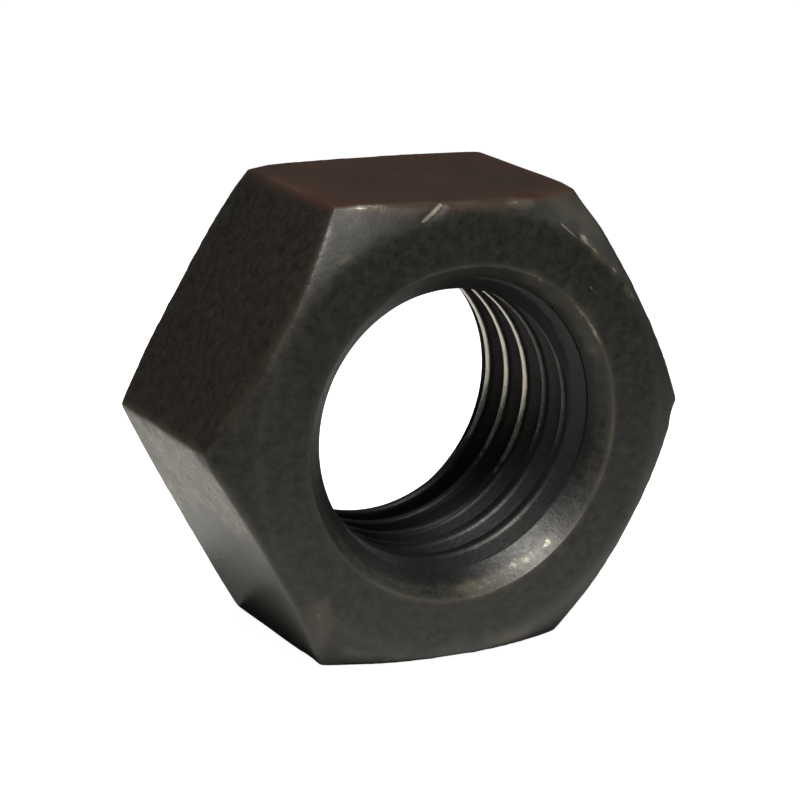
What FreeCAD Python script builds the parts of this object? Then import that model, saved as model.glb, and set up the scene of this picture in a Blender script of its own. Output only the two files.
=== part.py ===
import FreeCAD, Part
import math
import os

# Hexagon nut with a coarse metric thread, M20 x 2.5, in millimetres.
# The nut stands on one of its flats: the thread axis is level and runs along Y,
# the front face looks towards -Y, and the origin is the centre of the flat underneath.

# Driving dimensions
across_flats = 30.0
thickness = 16.0
corner_rounding = 0.6          # radius along the six long edges of the forged hexagon
front_face_diameter = 28.85    # flat ring left on the front face by the corner chamfer
front_chamfer_angle = 38.5     # from the face, degrees
back_face_diameter = 28.9
back_chamfer_angle = 21.0
thread_diameter = 20.0         # across the roots of the nut's thread
pitch = 2.5
bore_diameter = 17.74          # across the crests, upper limit of the usual tolerance
front_countersink_diameter = 21.8
front_countersink_angle = 74.0 # included, degrees
back_countersink_diameter = 21.3
back_countersink_angle = 90.0
first_crest_depth = 0.5        # from the front face to a crest's middle, on the +X side

# Worked-out sizes
flank_slope = math.tan(math.radians(30.0))
root_width = pitch / 8.0
axis_height = across_flats / 2.0
bore_radius = bore_diameter / 2.0
beyond = 2.0                   # how far cutting solids run past the material


def turned(profile):
    """The solid that a half section, given as (radius, depth) points, sweeps about the axis."""
    points = [FreeCAD.Vector(radius, 0.0, depth) for radius, depth in profile]
    face = Part.Face(Part.makePolygon(points + points[:1]))
    return face.revolve(FreeCAD.Vector(0, 0, 0), FreeCAD.Vector(0, 0, 1), 360.0)


def hexagon_bar():
    """A length of hexagon bar with rounded long edges, flats towards +Y and -Y."""
    corner = across_flats / math.sqrt(3.0)
    points = []
    for step in range(7):
        angle = math.radians(60.0 * step)
        points.append(FreeCAD.Vector(corner * math.cos(angle), corner * math.sin(angle), 0.0))
    bar = Part.Face(Part.makePolygon(points)).extrude(FreeCAD.Vector(0, 0, thickness))
    long_edges = [edge for edge in bar.Edges if abs(edge.tangentAt(edge.FirstParameter).z) > 0.99]
    return bar.makeFillet(corner_rounding, long_edges)


def chamfer_envelope():
    """The turned shape that takes the corners off both ends of the hexagon."""
    outside = across_flats / math.sqrt(3.0) + beyond
    front_radius = front_face_diameter / 2.0
    back_radius = back_face_diameter / 2.0
    front_drop = (outside - front_radius) * math.tan(math.radians(front_chamfer_angle))
    back_drop = (outside - back_radius) * math.tan(math.radians(back_chamfer_angle))
    return turned([
        (0.0, 0.0),
        (front_radius, 0.0),
        (outside, front_drop),
        (outside, thickness - back_drop),
        (back_radius, thickness),
        (0.0, thickness),
    ])


def countersink(diameter, angle):
    """How deep a countersink reaches, and its radius where the cutter stops outside the face."""
    slope = math.tan(math.radians(90.0 - angle / 2.0))
    return (diameter / 2.0 - bore_radius) * slope, diameter / 2.0 + beyond / slope


def bore_cutter():
    """The drilled hole with a countersink at each end."""
    front_depth, front_wide = countersink(front_countersink_diameter, front_countersink_angle)
    back_depth, back_wide = countersink(back_countersink_diameter, back_countersink_angle)
    return turned([
        (0.0, -beyond),
        (front_wide, -beyond),
        (bore_radius, front_depth),
        (bore_radius, thickness - back_depth),
        (back_wide, thickness + beyond),
        (0.0, thickness + beyond),
    ])


def groove_turn():
    """One turn of the helical groove, right-handed, with 60 degree flanks and a narrow flat root."""
    root_radius = thread_diameter / 2.0
    inner_radius = bore_radius - 0.3
    root_half = root_width / 2.0
    inner_half = root_half + (root_radius - inner_radius) * flank_slope
    corners = [
        FreeCAD.Vector(inner_radius, 0.0, -inner_half),
        FreeCAD.Vector(root_radius, 0.0, -root_half),
        FreeCAD.Vector(root_radius, 0.0, root_half),
        FreeCAD.Vector(inner_radius, 0.0, inner_half),
    ]
    section = Part.makePolygon(corners + corners[:1])
    helix = Part.makeHelix(pitch, pitch, root_radius)
    return Part.Wire(helix.Edges).makePipeShell([section], True, True)


def threaded(blank):
    """The blank with the groove cut turn by turn, from before the front face to past the back one."""
    start = first_crest_depth + pitch / 2.0 - 2.0 * pitch
    turns = math.ceil((thickness + pitch - start) / pitch)
    nut = blank
    for turn in range(turns):
        groove = groove_turn()
        groove.translate(FreeCAD.Vector(0, 0, start + turn * pitch))
        nut = nut.cut(groove)
    return nut


def hex_nut():
    blank = hexagon_bar().common(chamfer_envelope()).cut(bore_cutter())
    nut = threaded(blank)
    nut.rotate(FreeCAD.Vector(0, 0, 0), FreeCAD.Vector(1, 0, 0), -90.0)
    nut.translate(FreeCAD.Vector(0, -thickness / 2.0, axis_height))
    return nut


os.makedirs("parts", exist_ok=True)
nut = hex_nut()
print("hex_nut valid", nut.isValid(), "solids", len(nut.Solids), "volume", round(nut.Volume, 1), "mm3")
nut.exportStep("parts/hex_nut.step")
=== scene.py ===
import math

import bmesh
import bpy
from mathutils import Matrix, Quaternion, Vector, noise
from mathutils.kdtree import KDTree


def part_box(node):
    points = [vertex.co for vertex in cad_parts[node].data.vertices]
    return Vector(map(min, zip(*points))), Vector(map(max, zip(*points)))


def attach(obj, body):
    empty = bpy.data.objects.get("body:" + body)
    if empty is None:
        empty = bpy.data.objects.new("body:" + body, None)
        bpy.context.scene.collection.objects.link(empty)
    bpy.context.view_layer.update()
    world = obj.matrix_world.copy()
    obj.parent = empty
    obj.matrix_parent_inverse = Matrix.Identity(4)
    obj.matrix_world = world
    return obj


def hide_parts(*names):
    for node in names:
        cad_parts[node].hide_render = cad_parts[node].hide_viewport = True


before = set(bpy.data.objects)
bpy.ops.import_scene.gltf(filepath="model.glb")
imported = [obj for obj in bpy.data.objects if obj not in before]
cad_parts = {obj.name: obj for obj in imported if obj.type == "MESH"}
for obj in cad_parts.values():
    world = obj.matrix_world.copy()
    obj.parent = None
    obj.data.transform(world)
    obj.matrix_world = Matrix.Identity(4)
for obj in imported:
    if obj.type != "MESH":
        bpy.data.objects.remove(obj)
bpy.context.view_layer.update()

MM = 0.001

# The nut's sizes: the outside ones come from the frame, the others are the design's
low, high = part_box("hex_nut")
ACROSS_FLATS = high.z - low.z
FRONT = low.y
BACK = high.y
AXIS = Vector((0.0, 0.0, (low.z + high.z) / 2))
CORNER_RADIUS = ACROSS_FLATS / math.sqrt(3)
FACE_RADIUS = 14.4 * MM            # flat ring left on a face by the corner chamfer
FRONT_CHAMFER = math.radians(38.5)
BACK_CHAMFER = math.radians(21.0)
FRONT_MOUTH = (10.9 * MM, math.radians(37.0))      # countersink's radius and angle a side
BACK_MOUTH = (10.65 * MM, math.radians(45.0))
CREST_RADIUS = 8.87 * MM
ROOT_RADIUS = 10.0 * MM
PILOT_RADIUS = 8.0 * MM            # hole left for the thread tool to open out
PITCH = 2.5 * MM
FIRST_CREST = 0.5 * MM             # depth of a crest's middle on the +X side
FLANK = math.tan(math.radians(30))

CREST_ROUNDING = 0.3 * MM
ROOT_ROUNDING = 0.1 * MM
BORE_SIDE = 11.4 * MM              # what lies nearer the axis than this is bore or countersink

# How finely the nut is drawn
COLUMNS = 480                      # faces round the nut: 80 on each flat
THREAD_STEPS = 144                 # faces round one turn of the thread
MOUTH_RINGS = 14
FACE_RINGS = 14
CHAMFER_RINGS = 16
FLAT_BANDS = 32                    # cuts along the flats, between the two ends
END_BAND = 0.16 * MM               # narrow bands that hold the ends of the flats crisp
END_BANDS = 3
TURNING_MARGIN = 0.6 * MM          # how far the turned ends run out past the corners
SAME_PLACE = 0.002 * MM            # points nearer than this are one point
ON_PLANE = 1e-8                    # what lies nearer a cut than this, in metres, lies on it


# ---------------------------------------------------------------- modelling

def deselect_all():
    if bpy.context.object and bpy.context.object.mode != "OBJECT":
        bpy.ops.object.mode_set(mode="OBJECT")
    bpy.ops.object.select_all(action="DESELECT")


def work_on(piece):
    deselect_all()
    piece.select_set(True)
    bpy.context.view_layer.objects.active = piece


def settle(piece):
    """Puts the piece's place into its mesh, so that its object sits at the origin."""
    work_on(piece)
    bpy.ops.object.transform_apply(location=True, rotation=True, scale=True)


def finish_with(piece, kind, **settings):
    """Adds a modifier, sets it and applies it."""
    work_on(piece)
    modifier = piece.modifiers.new(kind.lower(), kind)
    for name, value in settings.items():
        setattr(modifier, name, value)
    bpy.ops.object.modifier_apply(modifier=modifier.name)


def pick_edges(mesh, wanted):
    """Selects, in edit mode, the edges for which wanted(middle, edge) is true."""
    bpy.ops.mesh.select_mode(type="EDGE")
    bpy.ops.mesh.select_all(action="DESELECT")
    bpy.ops.object.mode_set(mode="OBJECT")
    uses = [0] * len(mesh.edges)
    for loop in mesh.loops:
        uses[loop.edge_index] += 1
    for edge in mesh.edges:
        a, b = (mesh.vertices[i].co for i in edge.vertices)
        edge.select = wanted((a + b) / 2, uses[edge.index] == 1)
    bpy.ops.object.mode_set(mode="EDIT")


def radius_of(point):
    """How far a place lies from the nut's axis."""
    return math.hypot(point.x, point.z - AXIS.z)


def turned_end(face, inwards, mouth, chamfer):
    """One end of the blank as a turned skin, ring by ring from the pilot hole out past the corners."""
    mouth_radius, mouth_angle = mouth
    mouth_depth = (mouth_radius - PILOT_RADIUS) / math.tan(mouth_angle)
    outside = CORNER_RADIUS + TURNING_MARGIN
    chamfer_depth = (outside - FACE_RADIUS) * math.tan(chamfer)
    # Each stretch of the skin: radius and depth where it starts, radius and depth where it ends, rings
    stretches = (
        (PILOT_RADIUS, mouth_depth, mouth_radius, 0.0, MOUTH_RINGS),
        (mouth_radius, 0.0, FACE_RADIUS, 0.0, FACE_RINGS),
        (FACE_RADIUS, 0.0, outside, chamfer_depth, CHAMFER_RINGS),
    )
    radius, depth = PILOT_RADIUS, mouth_depth
    bpy.ops.mesh.primitive_circle_add(
        vertices=COLUMNS, radius=radius, location=AXIS + Vector((0, face + inwards * depth, 0)),
        rotation=(math.pi / 2, 0, 0))
    for start_radius, start_depth, end_radius, end_depth, rings in stretches:
        for ring in range(1, rings + 1):
            share = ring / rings
            new_radius = start_radius + (end_radius - start_radius) * share
            new_depth = start_depth + (end_depth - start_depth) * share
            step = (0, inwards * (new_depth - depth), 0)
            grow = new_radius / radius
            bpy.ops.mesh.extrude_edges_move(TRANSFORM_OT_translate={"value": step})
            bpy.ops.transform.resize(
                value=(grow, 1, grow), center_override=AXIS + Vector((0, face + inwards * new_depth, 0)))
            radius, depth = new_radius, new_depth


def mill_flats():
    """Cuts the six flats through the turned ends, so that two of the corners point to +X and -X."""
    for flat in range(6):
        angle = math.radians(30 + 60 * flat)
        outward = Vector((math.cos(angle), 0, math.sin(angle)))
        bpy.ops.mesh.select_all(action="SELECT")
        bpy.ops.mesh.bisect(
            plane_co=AXIS + outward * ACROSS_FLATS / 2, plane_no=outward, clear_outer=True,
            threshold=ON_PLANE)
    bpy.ops.mesh.select_all(action="SELECT")
    bpy.ops.mesh.remove_doubles(threshold=SAME_PLACE)


def close_sides(mesh):
    """Draws the flats from the front end's outline to the back end's, and closes the pilot hole."""
    def on_outline(middle, open_edge):
        return open_edge and radius_of(middle) > FACE_RADIUS - MM

    for face_side in (-1, 1):
        pick_edges(mesh, lambda middle, open_edge: (
            on_outline(middle, open_edge) and middle.y * face_side > 0))
        for _ in range(END_BANDS):
            bpy.ops.mesh.extrude_edges_move(
                TRANSFORM_OT_translate={"value": (0, -face_side * END_BAND, 0)})
    pick_edges(mesh, on_outline)
    bpy.ops.mesh.bridge_edge_loops(number_cuts=FLAT_BANDS, interpolation="LINEAR")
    pick_edges(mesh, lambda middle, open_edge: open_edge)
    bpy.ops.mesh.bridge_edge_loops()
    bpy.ops.mesh.select_all(action="SELECT")
    bpy.ops.mesh.normals_make_consistent(inside=False)


def thread_tool():
    """A tap-shaped solid: its outside is the thread's inside surface, right-handed."""
    root_flat = PITCH / 8
    land_half = (PITCH - root_flat - 2 * (ROOT_RADIUS - CREST_RADIUS) * FLANK) / 2
    rise = (ROOT_RADIUS - CREST_RADIUS) * FLANK
    # Half a crest, a flank, the root, the other flank and half a crest again: radius, and place along it
    corners = (
        (CREST_RADIUS, 0.0),
        (CREST_RADIUS, land_half),
        (ROOT_RADIUS, land_half + rise),
        (ROOT_RADIUS, land_half + rise + root_flat),
        (CREST_RADIUS, PITCH - land_half),
        (CREST_RADIUS, PITCH),
    )
    turns_ahead = 3
    start = FRONT + FIRST_CREST - turns_ahead * PITCH
    deselect_all()
    bpy.ops.mesh.primitive_plane_add(size=MM, location=AXIS)
    tool = bpy.context.object
    bpy.ops.object.mode_set(mode="EDIT")
    bpy.ops.mesh.select_mode(type="VERT")
    bpy.ops.mesh.merge(type="CENTER")
    bpy.ops.transform.translate(value=(corners[0][0], start, 0))
    for (radius, along), (next_radius, next_along) in zip(corners, corners[1:]):
        bpy.ops.mesh.extrude_region_move(
            TRANSFORM_OT_translate={"value": (next_radius - radius, next_along - along, 0)})
    from_ends = 0.1 * land_half
    for radius, rounding in ((CREST_RADIUS, CREST_ROUNDING), (ROOT_RADIUS, ROOT_ROUNDING)):
        bpy.ops.mesh.select_all(action="DESELECT")
        bpy.ops.object.mode_set(mode="OBJECT")
        for point in tool.data.vertices:
            inside_turn = start + from_ends < point.co.y < start + PITCH - from_ends
            point.select = inside_turn and abs(point.co.x - radius) < SAME_PLACE / 2
        bpy.ops.object.mode_set(mode="EDIT")
        bpy.ops.mesh.bevel(offset=rounding, segments=4, affect="VERTICES")
    bpy.ops.object.mode_set(mode="OBJECT")
    turns = math.ceil((BACK - FRONT) / PITCH) + 2 + turns_ahead
    finish_with(tool, "SCREW", axis="Y", angle=math.tau, screw_offset=PITCH, iterations=turns,
                steps=THREAD_STEPS, render_steps=THREAD_STEPS, use_merge_vertices=True,
                merge_threshold=SAME_PLACE / 2)
    settle(tool)
    bpy.ops.object.mode_set(mode="EDIT")
    bpy.ops.mesh.select_all(action="SELECT")
    bpy.ops.mesh.remove_doubles(threshold=SAME_PLACE)
    for end, outward in ((FRONT - MM, -1), (BACK + MM, 1)):
        bpy.ops.mesh.select_all(action="SELECT")
        bpy.ops.mesh.bisect(plane_co=(0, end, AXIS.z), plane_no=(0, outward, 0), clear_outer=True,
                            use_fill=True, threshold=ON_PLANE)
    bpy.ops.mesh.select_all(action="SELECT")
    bpy.ops.mesh.normals_make_consistent(inside=False)
    bpy.ops.object.mode_set(mode="OBJECT")
    return tool


def nut_blank():
    """The nut before its thread is cut: two turned ends, six milled flats and the flats between them."""
    deselect_all()
    bpy.ops.mesh.primitive_plane_add(size=MM, location=(0, 0, 0))
    nut = bpy.context.object
    nut.name = "nut"
    bpy.ops.object.mode_set(mode="EDIT")
    bpy.ops.mesh.delete(type="VERT")
    turned_end(FRONT, 1, FRONT_MOUTH, FRONT_CHAMFER)
    turned_end(BACK, -1, BACK_MOUTH, BACK_CHAMFER)
    mill_flats()
    close_sides(nut.data)
    bpy.ops.object.mode_set(mode="OBJECT")
    return nut


# ---------------------------------------------------------------- handling wear and painted highlights

def side(turn, radius, along):
    """A place in mm: degrees round the axis from +X towards +Z, distance from it and along it."""
    angle = math.radians(turn)
    return Vector((radius * math.cos(angle), along, AXIS.z / MM + radius * math.sin(angle)))


def end_place(turn, radius, face, mouth, chamfer):
    """A place in mm on the turned skin at one end of the nut."""
    under_chamfer = (radius - FACE_RADIUS / MM) * math.tan(chamfer)
    under_mouth = (mouth[0] / MM - radius) / math.tan(mouth[1])
    depth = max(under_chamfer, under_mouth, 0.0)
    return side(turn, radius, face / MM - math.copysign(depth, face))


def front(turn, radius):
    return end_place(turn, radius, FRONT, FRONT_MOUTH, FRONT_CHAMFER)


def back(turn, radius):
    return end_place(turn, radius, BACK, BACK_MOUTH, BACK_CHAMFER)


# Knocks from spanners and from lying in a bin: from, to, reach and depth in mm
KNOCKS = (
    (front(104, 14.4), front(98, 15.0), 0.45, 0.14),
    (front(120, 17.0), front(120, 17.0), 1.8, 0.22),
    (front(58, 17.0), front(58, 17.0), 2.4, 0.16),
    (back(120, 17.0), back(120, 17.4), 1.7, 0.10),
    (front(180, 17.1), front(180, 17.1), 1.6, 0.20),
    (front(-3, 16.8), front(-2, 17.0), 1.0, 0.12),
    (side(180, 17.2, 2.0), side(180, 17.2, 3.0), 1.3, 0.08),
    (side(-120, 17.1, -4.4), side(-120, 17.1, -3.6), 1.1, 0.05),
    (back(-58, 16.0), back(-54, 16.0), 1.3, 0.08),
)

# Broad rubs down towards bare steel: from, to, reach in mm and strength
RUBS = (
    # On the lower right of the front countersink: rubbed, and partly a painted highlight of the key lamp
    (front(-85, 10.5), front(-69, 10.4), 1.3, 0.57),
    (front(-69, 10.4), front(-50, 10.5), 1.3, 0.64),
    (front(119, 17.0), front(111, 16.0), 0.5, 0.75),
    (front(111, 16.0), front(88, 15.0), 0.4, 0.45),
    (front(80, 14.9), front(73, 15.3), 0.5, 0.60),
    (front(63, 15.6), front(55, 15.8), 1.8, 0.35),
    (front(123, 16.6), front(132, 15.6), 0.6, 0.25),
    (front(127, 14.8), front(125, 14.8), 0.4, 0.75),
    (front(57, 14.6), front(50, 14.3), 0.45, 0.78),
    (front(48, 14.3), front(43, 14.4), 0.45, 0.85),
    (front(37, 14.3), front(33, 14.4), 0.40, 0.80),
    (side(-179, 16.8, 6.0), side(-179, 16.9, -5.4), 0.8, 0.45),
    (side(-175, 16.7, -5.9), side(-125, 16.2, -5.9), 0.7, 0.40),
    (front(-125, 16.0), front(-134, 14.4), 1.4, 0.54),
    (front(-118, 15.6), front(-69, 15.0), 0.9, 0.50),
    # On the upper right of the front countersink: rubbed, and partly a painted reflection of the lit paper
    # in front
    (front(26, 10.5), front(44, 10.6), 1.2, 0.56),
    (front(44, 10.6), front(64, 10.6), 1.1, 0.52),
    (back(43, 13.2), back(35, 12.9), 0.9, 0.55),
    (back(-106, 14.3), back(-82, 14.2), 0.6, 0.55),
    (back(100, 10.5), back(60, 10.6), 0.7, 0.50),
    (side(19, 15.4, -2.0), side(9, 16.0, 2.0), 0.4, 0.38),
)

# Thin scratches: from, to, width in mm and strength
SCRATCHES = (
    (front(104, 14.4), front(98, 15.0), 0.28, 1.0),
    (front(64, 14.6), front(58, 14.3), 0.16, 0.85),
    (front(46, 12.4), front(45, 12.4), 0.15, 0.75),
    (front(176, 10.9), front(175, 10.9), 0.16, 0.70),
    (back(99, 12.7), back(88, 11.9), 0.12, 0.50),
    (back(-119, 12.5), back(-114, 12.6), 0.13, 0.50),
)

# How edges are rounded: reach to each side, and rounds of smoothing
RIM_WEAR = (1.5 * MM, 20)
MOUTH_WEAR = (0.9 * MM, 2)
EDGE_WEAR = (1.4 * MM, 16)
PATCHY_WEAR = (1.6 * MM, 16)
END_DEPTH = 1.2 * MM               # how far in from the two faces the rims and mouths are rounded
TRACE = 0.002                      # weights below this are left out

# The forging's slight unevenness: how wide its bumps are and how deep
UNEVENNESS = ((6.0 * MM, 0.04 * MM), (1.1 * MM, 0.006 * MM))

# Flats, counted clockwise from the top as seen from the front
TOP = 0
LOWER_LEFT = 4
UPPER_LEFT = 5


def gap_to_line(place, start, end):
    """Distance, in mm, from a place in metres to a short line given in mm."""
    along = end - start
    offset = place / MM - start
    share = min(max(offset.dot(along) / max(along.length_squared, 1e-9), 0.0), 1.0)
    return (offset - along * share).length


def strongest(marks, place, spread=1.0):
    """The most that any of the marks does at a place, fading smoothly to nothing at its reach."""
    most = 0.0
    for start, end, reach, strength in marks:
        gap = gap_to_line(place, start, end) / (reach * spread)
        if gap < 1:
            most = max(most, strength * (1 - gap * gap) ** 2)
    return most


def edge_tree(mesh, least_angle, outside=True):
    """A search tree of points along the mesh's sharp outward edges, outside the bore or within it."""
    work = bmesh.new()
    work.from_mesh(mesh)
    points = []
    for edge in work.edges:
        if edge.is_manifold and edge.is_convex and edge.calc_face_angle() > least_angle:
            middle = (edge.verts[0].co + edge.verts[1].co) / 2
            if (radius_of(middle) > BORE_SIDE) == outside:
                points.append(middle)
    work.free()
    tree = KDTree(len(points))
    for number, point in enumerate(points):
        tree.insert(point, number)
    tree.balance()
    return tree


def weigh(piece, name, weight_at):
    """A vertex group that holds weight_at(place) for every point where that is more than a trace."""
    group = piece.vertex_groups.new(name=name)
    for point in piece.data.vertices:
        weight = weight_at(point.co)
        if weight > TRACE:
            group.add([point.index], min(weight, 1.0), "REPLACE")


def patchy(place, size, seed):
    """A smooth value from 0 to 1 that looks random and changes over size millimetres."""
    offset = Vector((seed * 7.3, seed * 3.1, seed * 5.7))
    return min(max(0.5 + 0.75 * noise.noise(place / (size * MM) + offset), 0.0), 1.0)


def mouth_radius_near(place):
    return FRONT_MOUTH[0] if place.y < 0 else BACK_MOUTH[0]


def near_ring(place, radius, reach):
    """1 on the circle of this radius at either end of the nut, less to both sides, and 0 further in."""
    if abs(place.y) <= BACK - END_DEPTH:
        return 0
    return 1 - abs(radius_of(place) - radius) / reach


def smooth_where(nut, name, rounds, weight_at):
    weigh(nut, name, weight_at)
    finish_with(nut, "SMOOTH", factor=0.5, iterations=rounds, vertex_group=name)


def wear_down(nut, edges):
    """Rounds the rims of the faces widely, the mouths a little and the sharp outside edges, these more
    in some places than in others. Then it knocks the corners and makes the surface slightly uneven."""
    reach, rounds = RIM_WEAR
    smooth_where(nut, "rims", rounds, lambda place: near_ring(place, FACE_RADIUS, reach))
    reach, rounds = MOUTH_WEAR
    smooth_where(nut, "mouths", rounds, lambda place: near_ring(place, mouth_radius_near(place), reach))
    reach, rounds = EDGE_WEAR
    smooth_where(nut, "all edges", rounds, lambda place: 1 - edges.find(place)[2] / reach)
    reach, rounds = PATCHY_WEAR
    smooth_where(nut, "worn edges", rounds, lambda place: (
        (1 - edges.find(place)[2] / reach) * patchy(place, 3.0, 1)))
    weigh(nut, "knocks", lambda place: strongest(KNOCKS, place))
    finish_with(nut, "DISPLACE", strength=-MM, mid_level=0.0, vertex_group="knocks")
    for width, depth in UNEVENNESS:
        forging = bpy.data.textures.new("forging", "CLOUDS")
        forging.noise_scale = width
        finish_with(nut, "DISPLACE", texture=forging, texture_coords="LOCAL", strength=depth,
                    mid_level=1.0)
    nut.vertex_groups.clear()


def cut_thread(nut, tool):
    """Takes the tap's shape out of the blank, and clears up the slivers along the cut."""
    finish_with(nut, "BOOLEAN", object=tool, operation="DIFFERENCE", solver="EXACT")
    bpy.data.objects.remove(tool)
    work_on(nut)
    bpy.ops.object.mode_set(mode="EDIT")
    bpy.ops.mesh.select_all(action="SELECT")
    bpy.ops.mesh.remove_doubles(threshold=SAME_PLACE / 2)
    bpy.ops.mesh.dissolve_degenerate(threshold=SAME_PLACE / 4)
    bpy.ops.object.mode_set(mode="OBJECT")


def flat_depths(place):
    """How far under each of the six flats a place lies, in mm, the top flat first."""
    depths = []
    for flat in range(6):
        angle = math.radians(60 * flat)
        outward = Vector((math.sin(angle), 0, math.cos(angle)))
        depths.append((ACROSS_FLATS / 2 - (place - AXIS).dot(outward)) / MM)
    return depths


def fading(value, reach):
    """1 at nothing and below, falling to 0 at reach."""
    return min(max(1 - value / reach, 0.0), 1.0)


def edge_rub(place, edges):
    """How rubbed a place is for lying near a sharp outside edge."""
    return 0.45 * math.exp(-edges.find(place)[2] / (0.35 * MM)) * patchy(place, 2.5, 2)


def bore_rub_and_painted_highlight(place, bore_edges):
    """How rubbed a place in the thread or a countersink is, with painted highlights on the crests and
    along the mouth's rim.
    """
    radius = radius_of(place)
    sharp_edge = 0.30 * fading(bore_edges.find(place)[2], 0.3 * MM)
    # The mouth's rim, in patches, down to none on the -X side: rubbed, and partly a painted highlight
    # along the rim
    rim = fading(abs(radius - mouth_radius_near(place)), 0.22 * MM) * (0.35 + 0.65 * patchy(place, 2.0, 3))
    away_from_left = fading(-place.x / MM - 4.0, 5.0)
    # The crests, brightest in the back half of the bore and in its upper part: rubbed, and a painted
    # highlight where they catch the light
    crest = fading(radius - CREST_RADIUS, 0.10 * MM)
    deep = 0.2 + 0.8 * fading(-0.5 * MM - place.y, 3.5 * MM)
    upper = 0.2 + 0.8 * fading(13.0 - place.z / MM, 6.0)
    return max(sharp_edge, 0.80 * rim * away_from_left, deep * upper * crest)


def lower_left_painted_reflection(place, depths):
    """A painted reflection on the lower left flat, laid on as a rub: light all over its upper part, down
    to a ragged end.
    """
    below = 9.5 - place.z / MM + 3.0 * (patchy(place, 2.5, 6) - 0.5)
    return fading(depths[LOWER_LEFT], 0.5) * fading(below, 4.5) * (0.62 + 0.12 * patchy(place, 3.0, 4))


def record_wear_and_sheen(nut, edges):
    """Keeps, as attributes, how rubbed each place is, painted highlights and reflections included, how
    brown it is, whether it lies on a flat or on a corner chamfer, and how much darker it is in the
    thread's roots."""
    bore_edges = edge_tree(nut.data, least_angle=math.radians(28), outside=False)
    wear_and_sheen = {"rubbed_and_painted_sheen": [], "browned": [], "on_flat": [], "on_chamfer": [], "root_darkening": []}
    for point in nut.data.vertices:
        place = point.co
        radius = radius_of(place)
        depths = flat_depths(place)
        # Wear along the edges, and the painted reflection on the lower left flat
        rubs_and_sheens = [edge_rub(place, edges), lower_left_painted_reflection(place, depths)]
        if radius < BORE_SIDE:
            rubs_and_sheens.append(bore_rub_and_painted_highlight(place, bore_edges))
        rubs_and_sheens.append(strongest(RUBS, place, 0.45 + 1.1 * patchy(place, 1.1, 5)))
        wear_and_sheen["rubbed_and_painted_sheen"].append(max(rubs_and_sheens))
        top_brown = fading(depths[TOP] - 0.2, 0.6)
        left_brown = 0.14 * fading(depths[UPPER_LEFT] - 0.2, 0.6)
        wear_and_sheen["browned"].append(max(top_brown, left_brown))
        wear_and_sheen["on_flat"].append(fading(min(depths) - 0.12, 0.25))
        wear_and_sheen["on_chamfer"].append(1 - fading(radius - FACE_RADIUS, 0.5 * MM))
        # Darker in the thread's roots
        wear_and_sheen["root_darkening"].append(fading(radius - ROOT_RADIUS, 0.3 * MM))
    for name, values in wear_and_sheen.items():
        layer = nut.data.attributes.new(name, "FLOAT", "POINT")
        layer.data.foreach_set("value", values)


# ---------------------------------------------------------------- finishes

def linear(hex_colour):
    """sRGB hex to the linear colour that the shader takes."""
    channels = [int(hex_colour[i:i + 2], 16) / 255 for i in (1, 3, 5)]
    return [c / 12.92 if c <= 0.04045 else ((c + 0.055) / 1.055) ** 2.4 for c in channels] + [1.0]


def add(tree, kind, values=None, links=None, stops=None, **settings):
    """Adds a shader node: its settings, its sockets' values, what feeds it and a ramp's stops. A socket
    goes by its name, or by its number where several share a name."""
    made = tree.nodes.new("ShaderNode" + kind)
    for name, value in settings.items():
        setattr(made, name, value)
    for socket, value in (values or {}).items():
        made.inputs[socket].default_value = value
    for socket, source in (links or {}).items():
        tree.links.new(source, made.inputs[socket])
    if stops:
        ramp = made.color_ramp
        for number, (position, colour) in enumerate(stops):
            stop = ramp.elements[number] if number < 2 else ramp.elements.new(position)
            stop.position = position
            stop.color = colour
    return made


# Numbers of a Mix node's sockets, which share their names
FACTOR = 0
FIRST_NUMBER = 2
SECOND_NUMBER = 3
FIRST_COLOUR = 6
SECOND_COLOUR = 7

# Widths of the finish's patterns in mm. Clouds are where the salt bath took more or less strongly, and the
# mottle is the skin of the forging. The grain stands for the surface's fine pits: they are really a few
# hundredths of a millimetre wide, too fine to show, so they are drawn as wide as they need to show.
CLOUD = 7.0
MOTTLE = 0.6
GRAIN = 0.22
PIT_DEPTH = 0.03 * MM

# Colours of the finish
BLACK_SKIN = "#0e0f0d"
GREY_SKIN = "#2f2f2b"
BROWN_SKIN = "#402b22"
# Lighter skin where it is rubbed thin, also used for painted highlights and reflections
THIN_SKIN_AND_SHEEN = "#5a5649"
# Darker colour in the thread's roots
ROOT_DARK_SKIN = "#0a0a0a"
# Bare steel, also used for painted highlights and reflections
BARE_STEEL_AND_SHEEN = "#c8c2b2"
LEAST_SPECKLE = 0.5                # the speckle's useful range, from here to 1


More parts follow.
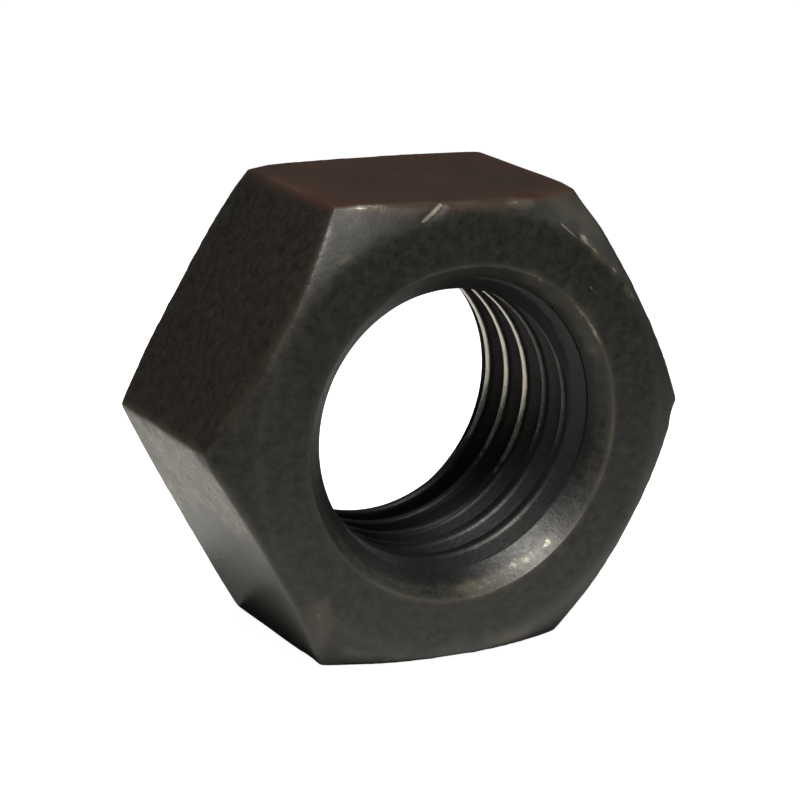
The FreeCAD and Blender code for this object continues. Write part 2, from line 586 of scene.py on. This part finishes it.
def scratched(tree, in_mm, jitter):
    """How deep in a thin scratch each place is, from 0 to 1. Depth into the face counts for little, so
    that a scratch stays whole where its edge is worn round."""
    flatten = Vector((1.0, 0.3, 1.0))
    flat_place = add(tree, "VectorMath", {1: flatten}, {0: in_mm}, operation="MULTIPLY").outputs[0]
    total = None
    for start, end, width, strength in SCRATCHES:
        along = (end - start) * flatten
        offset = add(tree, "VectorMath", {1: start * flatten}, {0: flat_place},
                     operation="SUBTRACT").outputs[0]
        share = add(tree, "VectorMath", {1: along / along.length_squared}, {0: offset},
                    operation="DOT_PRODUCT").outputs["Value"]
        held = add(tree, "Clamp", links={"Value": share}).outputs[0]
        run = add(tree, "VectorMath", {0: along}, {"Scale": held}, operation="SCALE").outputs[0]
        gap = add(tree, "VectorMath", links={0: offset, 1: run}, operation="DISTANCE").outputs["Value"]
        rough_gap = add(tree, "Math", {1: 0.25 * width}, {0: jitter, 2: gap},
                        operation="MULTIPLY_ADD").outputs[0]
        # Full strength within a tenth of the width, and nothing from 1.3 widths out
        mark = add(tree, "MapRange", {
            "From Min": 0.1 * width, "From Max": 1.3 * width, "To Min": strength, "To Max": 0.0},
            {"Value": rough_gap}, interpolation_type="SMOOTHSTEP").outputs[0]
        if total is None:
            total = mark
        else:
            total = add(tree, "Math", links={0: total, 1: mark}, operation="MAXIMUM").outputs[0]
    return total


def black_oxide_steel():
    """Cold-forged steel, machined, then blackened in a hot salt bath and oiled: a thin, very dark skin
    with a soft sheen, slightly cloudy, gone brown in places, rubbed to bare metal on the edges, lightened
    where highlights and reflections are painted in, and darker in the thread's roots."""
    material = bpy.data.materials.new("black_oxide_steel")
    material.use_nodes = True
    tree = material.node_tree
    tree.nodes.clear()
    place = add(tree, "TexCoord").outputs["Object"]
    in_mm = add(tree, "VectorMath", {"Scale": 1 / MM}, {0: place}, operation="SCALE").outputs[0]

    cloud = add(tree, "TexNoise", {"Scale": 1 / CLOUD, "Detail": 3.0, "Roughness": 0.55},
                {"Vector": in_mm}).outputs["Fac"]
    mottle = add(tree, "TexNoise", {"Scale": 1 / MOTTLE, "Detail": 4.0, "Roughness": 0.6},
                 {"Vector": in_mm}).outputs["Fac"]
    grain = add(tree, "TexNoise", {"Scale": 1 / GRAIN, "Detail": 2.0, "Roughness": 0.6},
                {"Vector": in_mm}).outputs["Fac"]
    speckle = add(tree, "Math", {1: 0.5}, {0: grain, 2: mottle}, operation="MULTIPLY_ADD").outputs[0]

    rubbed_and_painted_sheen, browned, on_flat, on_chamfer, root_darkening = (
        add(tree, "Attribute", attribute_name=name).outputs["Fac"]
        for name in ("rubbed_and_painted_sheen", "browned", "on_flat", "on_chamfer", "root_darkening"))
    scratch = scratched(tree, in_mm, grain)
    # The rub, painted sheen included, and half the speckle, added up, start to bare the steel at 0.95 and
    # bare it wholly at 1.35
    strongest_rub_and_sheen = add(tree, "Math", links={0: rubbed_and_painted_sheen, 1: scratch}, operation="MAXIMUM").outputs[0]
    rub_and_sheen_sum = add(tree, "Math", {1: 0.5}, {0: speckle, 2: strongest_rub_and_sheen},
                  operation="MULTIPLY_ADD").outputs[0]
    bare_steel_and_sheen = add(tree, "MapRange", {"From Min": 0.95, "From Max": 1.35}, {"Value": rub_and_sheen_sum}).outputs[0]

    # Colour: the speckled skin, browned, rubbed thin and lightened where a highlight or reflection is
    # painted, darker in the thread's roots, and bare where it is rubbed through and where the painted
    # highlights are strongest
    skin = add(tree, "ValToRGB", links={"Fac": speckle}, stops=(
        (LEAST_SPECKLE, linear(BLACK_SKIN)), (1.0, linear(GREY_SKIN)))).outputs["Color"]
    cloudy = add(tree, "MapRange", {"From Min": 0.3, "From Max": 0.6, "To Min": 0.5},
                 {"Value": cloud}).outputs[0]
    brown_part = add(tree, "Math", links={0: browned, 1: cloudy}, operation="MULTIPLY").outputs[0]
    brown_skin = add(tree, "Mix", {SECOND_COLOUR: linear(BROWN_SKIN)},
                     {FACTOR: brown_part, FIRST_COLOUR: skin}, data_type="RGBA").outputs[2]
    thin_skin_and_sheen = add(tree, "Mix", {SECOND_COLOUR: linear(THIN_SKIN_AND_SHEEN)},
                    {FACTOR: rubbed_and_painted_sheen, FIRST_COLOUR: brown_skin}, data_type="RGBA").outputs[2]
    root_darkened_skin = add(tree, "Mix", {SECOND_COLOUR: linear(ROOT_DARK_SKIN)},
                     {FACTOR: root_darkening, FIRST_COLOUR: thin_skin_and_sheen}, data_type="RGBA").outputs[2]
    colour = add(tree, "Mix", {SECOND_COLOUR: linear(BARE_STEEL_AND_SHEEN)},
                 {FACTOR: bare_steel_and_sheen, FIRST_COLOUR: root_darkened_skin}, data_type="RGBA").outputs[2]

    # Roughness: the faced ends are duller than the forged flats, their chamfers more so, and bare steel
    # is duller in a scratch than where it is rubbed
    faced = add(tree, "MapRange", {"From Min": LEAST_SPECKLE, "To Min": 0.40, "To Max": 0.52},
                {"Value": speckle}).outputs[0]
    turned = add(tree, "Math", {1: 0.11}, {0: on_chamfer, 2: faced}, operation="MULTIPLY_ADD").outputs[0]
    forged = add(tree, "MapRange", {"From Min": LEAST_SPECKLE, "To Min": 0.27, "To Max": 0.31},
                 {"Value": speckle}).outputs[0]
    skin_roughness = add(tree, "Mix", links={
        FACTOR: on_flat, FIRST_NUMBER: turned, SECOND_NUMBER: forged}).outputs[0]
    steel_roughness = add(tree, "Math", {1: 0.35, 2: 0.22}, {0: scratch},
                          operation="MULTIPLY_ADD").outputs[0]
    roughness = add(tree, "Mix", links={
        FACTOR: bare_steel_and_sheen, FIRST_NUMBER: skin_roughness, SECOND_NUMBER: steel_roughness}).outputs[0]

    height = add(tree, "Math", {1: 0.7}, {0: grain, 2: mottle}, operation="MULTIPLY_ADD").outputs[0]
    relief = add(tree, "Bump", {"Strength": 0.7, "Distance": PIT_DEPTH},
                 {"Height": height}).outputs["Normal"]
    surface = add(tree, "BsdfPrincipled", links={
        "Base Color": colour, "Metallic": bare_steel_and_sheen, "Roughness": roughness, "Normal": relief})
    add(tree, "OutputMaterial", links={"Surface": surface.outputs[0]})
    return material


WHITE = "#ffffff"
PAPER = "#e6e6e4"
PAPER_LIFT = 0.98


def white_paper():
    """Matt white background paper: no texture to be seen. Looked at directly it glows nearly white, so
    that its shadows stay faint, but it lights the nut only with the light that it reflects."""
    material = bpy.data.materials.new("white_paper")
    material.use_nodes = True
    tree = material.node_tree
    surface = tree.nodes["Principled BSDF"]
    surface.inputs["Base Color"].default_value = linear(PAPER)
    surface.inputs["Roughness"].default_value = 0.9
    surface.inputs["Specular IOR Level"].default_value = 0.2
    surface.inputs["Emission Color"].default_value = linear(WHITE)
    direct = add(tree, "LightPath").outputs["Is Camera Ray"]
    lift = add(tree, "Math", {1: PAPER_LIFT}, {0: direct}, operation="MULTIPLY").outputs[0]
    tree.links.new(lift, surface.inputs["Emission Strength"])
    return material


# ---------------------------------------------------------------- the nut

nut = nut_blank()
outside_edges = edge_tree(nut.data, least_angle=math.radians(14))
wear_down(nut, outside_edges)
cut_thread(nut, thread_tool())
record_wear_and_sheen(nut, outside_edges)
nut.data.materials.append(black_oxide_steel())
work_on(nut)
bpy.ops.object.shade_smooth_by_angle(angle=math.radians(32))
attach(nut, "root")
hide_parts("hex_nut")


# ---------------------------------------------------------------- studio

deselect_all()
bpy.ops.mesh.primitive_plane_add(size=6.0, location=(0, 0, 0))
floor = bpy.context.object
floor.name = "floor"
floor.data.materials.append(white_paper())

LAMP_DISTANCE = 260 * MM
LAMP_RADIUS = 50 * MM
LAMP_COLOUR = (1.0, 0.975, 0.93)

# Soft, slightly warm spots: one from high on the left lights the nut and the paper close to it, a weak
# one fills the right side, and one lights the paper behind, which the nut then mirrors.
# Each has its aim in mm, the direction that it stands in, its spread in degrees and its power in watts
LAMPS = (
    ("key", (6, -14, 4), (-0.31, -0.33, 0.89), 28, 4.4),
    ("fill", (3, -5, 4), (0.87, -0.22, 0.42), 28, 0.5),
    ("back", (8, 72, 0), (0.00, 0.35, 0.94), 24, 4.0),
)
for name, aim, towards, spread, power in LAMPS:
    deselect_all()
    towards = Vector(towards).normalized()
    bpy.ops.object.light_add(type="SPOT", location=Vector(aim) * MM + towards * LAMP_DISTANCE)
    lamp = bpy.context.object
    lamp.name = name
    lamp.rotation_euler = towards.to_track_quat("Z", "Y").to_euler()
    lamp.data.energy = power
    lamp.data.color = LAMP_COLOUR
    lamp.data.shadow_soft_size = LAMP_RADIUS
    lamp.data.spot_size = math.radians(spread)
    lamp.data.spot_blend = 1.0

# The room: white to look at, and dim as a light
ROOM_LIGHT = 0.048

world = bpy.data.worlds.new("studio")
bpy.context.scene.world = world
world.use_nodes = True
room = world.node_tree
room.nodes.clear()
seen = add(room, "LightPath").outputs["Is Camera Ray"]
dim = add(room, "Background", {"Color": linear(WHITE), "Strength": ROOM_LIGHT}).outputs[0]
pale = add(room, "Background", {"Color": linear(WHITE), "Strength": 1.0}).outputs[0]
both = add(room, "MixShader", links={0: seen, 1: dim, 2: pale}).outputs[0]
add(room, "OutputWorld", links={"Surface": both})

# The camera looks at AIM from in front, TURN to the left, RISE above the level and tipped by ROLL
AIM = Vector((-0.35, 0.25, 15.25)) * MM
DISTANCE = 201 * MM
TURN = math.radians(28.5)
RISE = math.radians(15.4)
ROLL = math.radians(1.95)
LENS = 139.0                       # focal length for a sensor 36 mm wide
back_along = Vector((-math.sin(TURN) * math.cos(RISE), -math.cos(TURN) * math.cos(RISE), math.sin(RISE)))
camera_data = bpy.data.cameras.new("camera")
camera_data.lens = LENS
camera_data.sensor_width = 36.0
camera_data.clip_start = 10 * MM
camera = bpy.data.objects.new("camera", camera_data)
bpy.context.scene.collection.objects.link(camera)
camera.location = AIM + back_along * DISTANCE
camera.rotation_mode = "QUATERNION"
camera.rotation_quaternion = back_along.to_track_quat("Z", "Y") @ Quaternion((0, 0, 1), ROLL)
bpy.context.scene.camera = camera
bpy.context.scene.view_settings.view_transform = "Standard"
